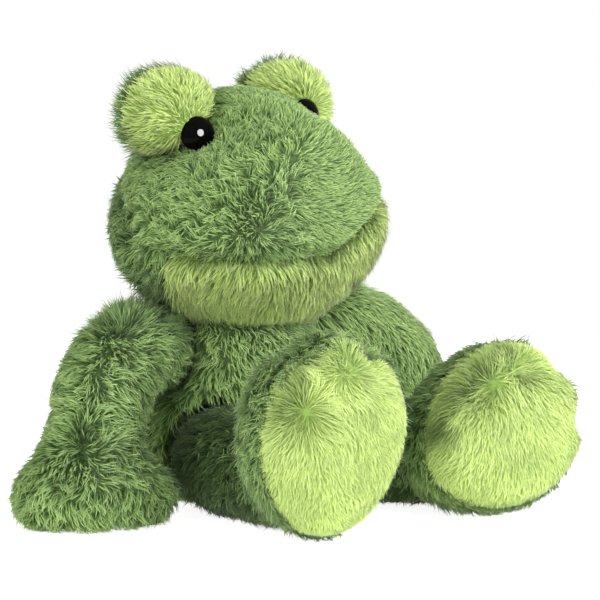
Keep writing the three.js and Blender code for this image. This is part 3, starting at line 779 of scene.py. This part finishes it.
def gathered(length, gather, root, normal, lean_to, long, rng):
    """How far each tip moves over to the middle of its lock, and the lock's own number."""
    ahead = long[:, None] * 0.3 * lean_to
    lock, number = nearest_seed(root + ahead, 2.0 + 0.16 * length, 17)
    pull = lock - ahead - root
    pull = pull - (pull * normal).sum(-1, keepdims=True) * normal
    return pull * (gather * (0.5 + 0.7 * rng.random(len(root))))[:, None], number


def panel_piece(skin, index, node):
    """One sewn panel: its cloth and the pile that grows on it, as one mesh."""
    lie, length, gather, tone, ruffle = PILE[node]
    soft = SOFTNESS + 0.2 * np.clip(1 - 2 * ruffle, 0, 1)
    grown = next((share for start, share in STRAND_SHARE.items() if node.startswith(start)), OTHER_SHARE)
    rng = np.random.default_rng(sum(map(ord, node)))
    quads = skin["quads"][skin["panel"] == index]
    points, normals = skin["points"], skin["normals"]
    cloth, cloth_faces = cloth_patch(points, normals, quads)
    cloth_faces = triangles_of(cloth_faces)
    triangles = triangles_of(quads)
    # The cloth has the dark colour of the foot of its pile, painted shade for the deep pile between the strands, with
    # a faint woven pattern, and the tone and painted light of its place
    cloth_weave_and_shade = np.stack([0.02 * np.sin(cloth[:, 0]), 0.16 + 0.02 * np.sin(cloth[:, 2])], -1)
    cloth_weave_and_shade[:, 0] += np.clip(tone + place_tone_and_painted_light(node, cloth), 0.05, 0.95)
    every, faces, maps, shades = [cloth], [cloth_faces], [cloth_weave_and_shade], [point_normals(cloth, cloth_faces)]
    for bent, density in ((True, LOCKS_PER_MM2), (False, DOWN_PER_MM2)):
        which, share = scattered(points, triangles, density * grown, rng)
        corner = triangles[which]
        root = (points[corner] * share[..., None]).sum(1)
        normal = unit((normals[corner] * share[..., None]).sum(1))
        room = (skin["room"][corner] * share).sum(1)
        keep = (room > TIGHT_ROOM) | (rng.random(len(root)) < TIGHT_SHARE)
        keep &= clear_of_eyes(root)
        root, normal, room = root[keep], normal[keep], np.maximum(room[keep], LEAST_ROOM)
        count = len(root)
        clump, number = nearest_seed(root, CLUMP_SIZE, 41)
        lean_to, lean = combed(lie, root, normal, number, ruffle, bent, rng)
        lean, long = trimmed(node, length, root, lean, room, bent, rng)
        pull, own = gathered(length, gather, root, normal, lean_to, long, rng)
        width = (LEAST_WIDTH + MORE_WIDTH * rng.random(count) + RUFFLED_WIDTH * ruffle) * STRAND_GROWTH / grown**0.5
        # The tone follows the place, the lock and the clump; painted shade darkens it towards the edge of a clump and
        # on the short strands down between the locks
        shade = tone + place_tone_and_painted_light(node, root) + (0.12 + 0.12 * ruffle) * (own - 0.5) - (0 if bent else 0.1)
        shade += 0.22 * (mottle(root, 11, 3) - 0.5) + 0.42 * ruffle * (number - 0.5)
        shade += rng.normal(0, 0.05 + 0.11 * ruffle, count)
        shade -= 0.4 * ruffle * np.clip((np.linalg.norm(root - clump, axis=-1) - 1.2) / 2.2, 0, 1)
        shade = np.clip(shade, 0.03, 0.97)
        p, f, uv, shading = strands(root, normal, lean_to, lean, long, width, shade, pull, bent, soft)
        # Tips that would go through the floor are laid flat just above it
        p[:, 2] = np.where(p[:, 2] < FLOOR_GAP, FLOOR_GAP + 0.02 * (FLOOR_GAP - p[:, 2]), p[:, 2])
        faces.append(f + sum(map(len, every)))
        every.append(p)
        maps.append(uv)
        shades.append(shading)
    return add_piece(f"{node}_plush", *(np.concatenate(part) for part in (every, faces, maps, shades)))


def add_piece(name, points, faces, uv=None, normals=None):
    """A finished object at the origin, with its place in its mesh."""
    obj = bpy.data.objects.new(name, mesh_of(name, points, faces, uv, normals))
    scene.collection.objects.link(obj)
    return obj


# Materials

DULL = 0.06  # specular level of the pile and the eyes, so that the strong glint lamp shows only as a small spot
STRAND_STOPS = (0.0, 0.4, 0.72, 1.0)  # places of a strand's four colours, from its root to its tip


def shader(name, rough, specular):
    """A new material with its principled shader and its node and link makers."""
    material = bpy.data.materials.new(name)
    material.use_nodes = True
    nodes, links = material.node_tree.nodes, material.node_tree.links
    main = nodes["Principled BSDF"]
    main.inputs["Roughness"].default_value = rough
    main.inputs["Specular IOR Level"].default_value = specular
    return material, main, nodes, links


def ramp(nodes, stops):
    """A colour ramp with these stops."""
    node = nodes.new("ShaderNodeValToRGB")
    marks = node.color_ramp.elements
    for mark, (place, colour) in zip(marks, (stops[0], stops[-1])):
        mark.position, mark.color = place, (*colour, 1)
    for place, colour in stops[1:-1]:
        marks.new(place).color = (*colour, 1)
    return node


def plush(name, colours, sheen_tint):
    """Pile: the colour runs along each strand from root to tip, and is darker or lighter by the strand's tone. The
    dark roots are partly the pile's own two tones and partly painted shade, for the shade deep between the strands.
    """
    material, main, nodes, links = shader(name, 0.82, DULL)
    uv = nodes.new("ShaderNodeUVMap")
    uv.uv_map = "OFBake"
    split = nodes.new("ShaderNodeSeparateXYZ")
    links.new(uv.outputs[0], split.inputs[0])
    length = ramp(nodes, list(zip(STRAND_STOPS, colours)))
    links.new(split.outputs[1], length.inputs[0])
    tone = ramp(nodes, [(0.0, (0.16, 0.18, 0.16)), (0.5, (0.92, 0.92, 0.92)), (1.0, (1.75, 1.6, 1.7))])
    links.new(split.outputs[0], tone.inputs[0])
    mix = nodes.new("ShaderNodeMix")
    mix.data_type, mix.blend_type = "RGBA", "MULTIPLY"
    mix.inputs[0].default_value = 1
    links.new(length.outputs[0], mix.inputs[6])
    links.new(tone.outputs[0], mix.inputs[7])
    links.new(mix.outputs[2], main.inputs["Base Color"])
    main.inputs["Sheen Weight"].default_value = 0.25
    main.inputs["Sheen Roughness"].default_value = 0.5
    main.inputs["Sheen Tint"].default_value = (*sheen_tint, 1)
    return material


def speckled(name, dark, light, size, rough, bump, specular=0.5):
    """A material on Object coordinates whose colour and bump both follow a fine noise."""
    material, main, nodes, links = shader(name, rough, specular)
    place = nodes.new("ShaderNodeTexCoord")
    noise = nodes.new("ShaderNodeTexNoise")
    noise.inputs["Scale"].default_value = size
    noise.inputs["Detail"].default_value = 5
    links.new(place.outputs["Object"], noise.inputs["Vector"])
    colour = ramp(nodes, [(0.3, dark), (0.7, light)])
    links.new(noise.outputs[0], colour.inputs[0])
    links.new(colour.outputs[0], main.inputs["Base Color"])
    relief = nodes.new("ShaderNodeBump")
    relief.inputs["Strength"].default_value = bump
    relief.inputs["Distance"].default_value = 0.0006
    links.new(noise.outputs[0], relief.inputs["Height"])
    links.new(relief.outputs[0], main.inputs["Normal"])
    return material


green_pile = plush("green_plush", [
    (0.022, 0.05, 0.014), (0.15, 0.27, 0.072), (0.33, 0.53, 0.165), (0.56, 0.78, 0.31),
], (0.75, 0.95, 0.65))
light_pile = plush("light_plush", [
    (0.2, 0.36, 0.05), (0.54, 0.77, 0.185), (0.74, 0.94, 0.31), (0.88, 1.0, 0.45),
], (0.92, 1.0, 0.75))
# The soles take the light pile with paler roots and duller tips, so that less painted shade shows between their flat
# strands
sole_pile = plush("sole_plush", [
    (0.26, 0.44, 0.07), (0.54, 0.77, 0.195), (0.68, 0.89, 0.28), (0.8, 0.97, 0.4),
], (0.92, 1.0, 0.75))
fibre = speckled("white_fibre", (0.72, 0.72, 0.69), (0.9, 0.9, 0.88), 900, 0.95, 0.8)
pellet_cloth = speckled("pellet_bag_cloth", (0.5, 0.48, 0.43), (0.66, 0.64, 0.58), 1400, 0.9, 0.5)
washer_plastic = speckled("washer_plastic", (0.66, 0.66, 0.64), (0.74, 0.74, 0.72), 300, 0.45, 0.1)
eye_black = speckled("eye_black", (0.002, 0.002, 0.002), (0.004, 0.004, 0.004), 260, 0.05, 0.0, DULL)


# Pieces

skins = ready_forms()
for form, skin in skins.items():
    body = FORMS[form]["body"]
    for index, node in enumerate(FORMS[form]["panels"]):
        piece = panel_piece(skin, index, node)
        pale = node.startswith(("lip", "sole", "eye_dome_front"))
        pile = sole_pile if node.startswith("sole") else light_pile if pale else green_pile
        piece.data.materials.append(pile)
        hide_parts(node)
        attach(piece, body)


def kept_under(points, skin, depth):
    """Points nearer to the cloth than a depth, or outside it, moved below the nearest place on it by 1.2 times that
    depth, three times over."""
    tree = BVHTree.FromPolygons(skin["points"].tolist(), skin["quads"].tolist())
    for _ in range(3):
        under, place, normal = depth_under(tree, points)
        points = np.where((under < depth)[:, None], place - normal * depth * 1.2, points)
    return points


def wadding_piece(form, skin):
    """Stuffing of a form: its skin before the last division, drawn in under the cloth and made lumpy by a mottle
    of two sizes. The seat's stuffing is lifted clear of the pellet bag, and drawn in to SEAT_SHARE of its width
    there."""
    points, quads = skin["core"], skin["core_quads"]
    lumps = sum(depth * mottle(points, size, seed) for depth, size, seed in LUMPS)
    points = drawn_in(points, quads, WADDING_DEPTH + dents(form, points) + lumps, skin["points"], skin["quads"])
    if form == "torso":
        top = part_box("seat_pellet_pouch")[1][2] / MM + BAG_GAP
        low = points[:, 2] < top
        middle = points[:, :2].mean(0)
        points[low, :2] = middle + SEAT_SHARE * (points[low, :2] - middle)
        points[:, 2] = np.maximum(points[:, 2], top)
    points = kept_under(points, skin, CLOTH_THICKNESS + CLOTH_GAP)
    points[:, 2] = np.maximum(points[:, 2], LOWEST_WADDING)
    return add_piece(f"{form}_wadding", points, quads)


for form, skin in skins.items():
    piece = wadding_piece(form, skin)
    piece.data.materials.append(fibre)
    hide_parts(FORMS[form]["filling"][0])
    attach(piece, FORMS[form]["body"])


def pellet_bag():
    """The seat's bag of pellets: the CAD pouch rebuilt on a fine lattice, smoothed, drawn in a little, and pushed out
    over every pellet, by a bell about the nearest of one seed per pellet-sized cell."""
    points, triangles = welded("seat_pellet_pouch")
    points, quads = with_modifier(points, triangles, "REMESH", lattice(BAG_CELL))
    points, quads = largest_skin(points, quads)
    points = smoothed(points, edges_of(quads), 10)
    normals = point_normals(points, quads)
    middle, _ = nearest_seed(points, PELLET_SIZE, 31)
    out = PELLET_BUMP * near(points, middle, PELLET_REACH) - BAG_DEPTH
    return add_piece("seat_pellet_bag", points + normals * out[:, None], quads)


bag = pellet_bag()
bag.data.materials.append(pellet_cloth)
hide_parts("seat_pellet_pouch")
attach(bag, "torso")


def eye_piece(side):
    """A safety eye: a profile of radius against height, turned about the axis that the eye looks along. The face is
    half an ellipse, its edge rolls over into a flat back, and the stem runs back from that with ridges."""
    axis = eye_axis(side)
    dome = np.linspace(0, math.pi / 2, 14)
    face = np.stack([EYE_RADIUS * np.sin(dome), EYE_HEIGHT * np.cos(dome)], -1)
    edge = np.array([[8.95, -0.6], [8.6, -1.2], [8.1, -1.5], [2.9, -1.5], [2.4, -1.9]])
    stem = np.array([[2.4 - 0.3 * (k % 2), -3.0 - 1.4 * k] for k in range(7)] + [[2.2, -12.6], [1.7, -13.0]])
    profile = np.concatenate([face, edge, stem, [[0.0, -13.0]]])
    spin = np.linspace(0, 2 * math.pi, 48, endpoint=False)
    right = unit(np.cross(axis, [0, 0, 1.0]))
    up = np.cross(right, axis)
    radius, height = profile[1:-1, 0], profile[1:-1, 1]
    ring = np.cos(spin)[:, None] * right + np.sin(spin)[:, None] * up
    grid = radius[:, None, None] * ring + height[:, None, None] * axis
    rows, columns = len(radius), len(spin)
    points = np.concatenate([grid.reshape(-1, 3), [profile[0, 1] * axis], [profile[-1, 1] * axis]]) + EYES[side]
    i, j = np.meshgrid(np.arange(rows - 1), np.arange(columns), indexing="ij")
    a, b = (i * columns + j).ravel(), (i * columns + (j + 1) % columns).ravel()
    walls = np.concatenate([np.stack([a, a + columns, b], -1), np.stack([b, a + columns, b + columns], -1)])
    k = np.arange(columns)
    front = np.stack([np.full(columns, rows * columns), k, (k + 1) % columns], -1)
    last = (rows - 1) * columns
    end = np.stack([np.full(columns, rows * columns + 1), last + (k + 1) % columns, last + k], -1)
    return add_piece(f"eye_gloss_{side}", points, np.concatenate([walls, front, end]))


for side in SIDES:
    eye = eye_piece(side)
    eye.data.materials.append(eye_black)
    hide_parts(f"eye_{side}")
    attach(eye, "head")
    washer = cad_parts[f"eye_washer_{side}"]
    washer.data.materials.clear()
    washer.data.materials.append(washer_plastic)


# Floor, light and camera

FLOOR_RADIUS, FLOOR_CORNERS = 620, 64
FLOOR_GLOW, FLOOR_SHOWN = 0.2, 0.7  # the floor's own light on the toy, and how much more of it the camera sees
SKY_LIGHT = 0.42  # the world's light on the toy


def floor_material():
    """White, with light of its own: full for the camera, so that it shows white, and weaker for the toy above it."""
    material, main, nodes, links = shader("floor_white", 0.9, 0.1)
    main.inputs["Base Color"].default_value = (0.86, 0.86, 0.86, 1)
    path = nodes.new("ShaderNodeLightPath")
    level = nodes.new("ShaderNodeMath")
    level.operation = "MULTIPLY_ADD"
    level.inputs[1].default_value = FLOOR_SHOWN
    level.inputs[2].default_value = FLOOR_GLOW
    links.new(path.outputs["Is Camera Ray"], level.inputs[0])
    main.inputs["Emission Color"].default_value = (1, 1, 1, 1)
    links.new(level.outputs[0], main.inputs["Emission Strength"])
    return material


spin = np.linspace(0, 2 * math.pi, FLOOR_CORNERS, endpoint=False)
rim = np.stack([FLOOR_RADIUS * np.cos(spin), FLOOR_RADIUS * np.sin(spin), 0 * spin], -1)
floor = bpy.data.objects.new("floor", mesh_of("floor", rim, np.arange(FLOOR_CORNERS)[None]))
scene.collection.objects.link(floor)
floor.data.materials.append(floor_material())

# The camera looks from the toy's right and a little above, at a point between the head and the feet.
CAMERA_TURN, CAMERA_RISE, CAMERA_FAR = -40, 7.5, 2200.0
VIEW_ANGLE, AIM_RIGHT, AIM_UP = 7.925, 15.1, 5.2
back = heading_to(CAMERA_TURN, CAMERA_RISE)
right = np.array([math.cos(math.radians(CAMERA_TURN)), math.sin(math.radians(CAMERA_TURN)), 0.0])
above = np.cross(back, right)
aim = np.array([0.0, -20.0, 100.0]) + AIM_RIGHT * right + AIM_UP * above


def facing(direction):
    """The turn that points an object's -Z along a direction, with its Y up."""
    return Vector(direction).to_track_quat("-Z", "Y").to_euler()


camera = bpy.data.objects.new("camera", bpy.data.cameras.new("camera"))
camera.data.angle = math.radians(VIEW_ANGLE)
camera.data.clip_end = 50
camera.location = (aim + back * CAMERA_FAR) * MM
camera.rotation_euler = facing(-back)
scene.collection.objects.link(camera)
scene.camera = camera


def lamp(name, direction, far, size, level, glint=False):
    """A round soft lamp that looks at the toy from a direction given in the camera's right, up and back. Its power
    is pi squared times the squared distance times the level, at which a white card facing it shows that level. The
    glint lamp shows only in gloss, and the others only in diffuse light."""
    data = bpy.data.lights.new(name, "AREA")
    data.shape, data.size = "DISK", size * MM
    data.energy = level * (math.pi * far * MM) ** 2
    obj = bpy.data.objects.new(name, data)
    way = unit(direction[0] * right + direction[1] * above + direction[2] * back)
    obj.location = (aim + way * far) * MM
    obj.rotation_euler = facing(-way)
    obj.visible_diffuse, obj.visible_glossy = not glint, glint
    scene.collection.objects.link(obj)


lamp("key", (0.85, 0.32, 0.45), 1500, 900, 0.58)
lamp("top", (0.10, 1.0, 0.25), 1500, 1300, 0.32)
lamp("fill", (-0.60, 0.25, 0.80), 1600, 1200, 0.34)
lamp("glint", (0.62, 0.10, 0.78), 1500, 800, 11.0, glint=True)

# The world is white for the camera, and lights the toy evenly from all round with less.
world = bpy.data.worlds.new("studio")
scene.world = world
world.use_nodes = True
nodes, links = world.node_tree.nodes, world.node_tree.links
sky = nodes["Background"]
sky.inputs["Strength"].default_value = SKY_LIGHT
sky.inputs["Color"].default_value = (1, 1, 1, 1)
seen = nodes.new("ShaderNodeBackground")
seen.inputs["Color"].default_value = (1, 1, 1, 1)
seen.inputs["Strength"].default_value = 1.0
path = nodes.new("ShaderNodeLightPath")
pick = nodes.new("ShaderNodeMixShader")
links.new(path.outputs["Is Camera Ray"], pick.inputs[0])
links.new(sky.outputs[0], pick.inputs[1])
links.new(seen.outputs[0], pick.inputs[2])
links.new(pick.outputs[0], nodes["World Output"].inputs["Surface"])

scene.view_settings.view_transform = "Standard"
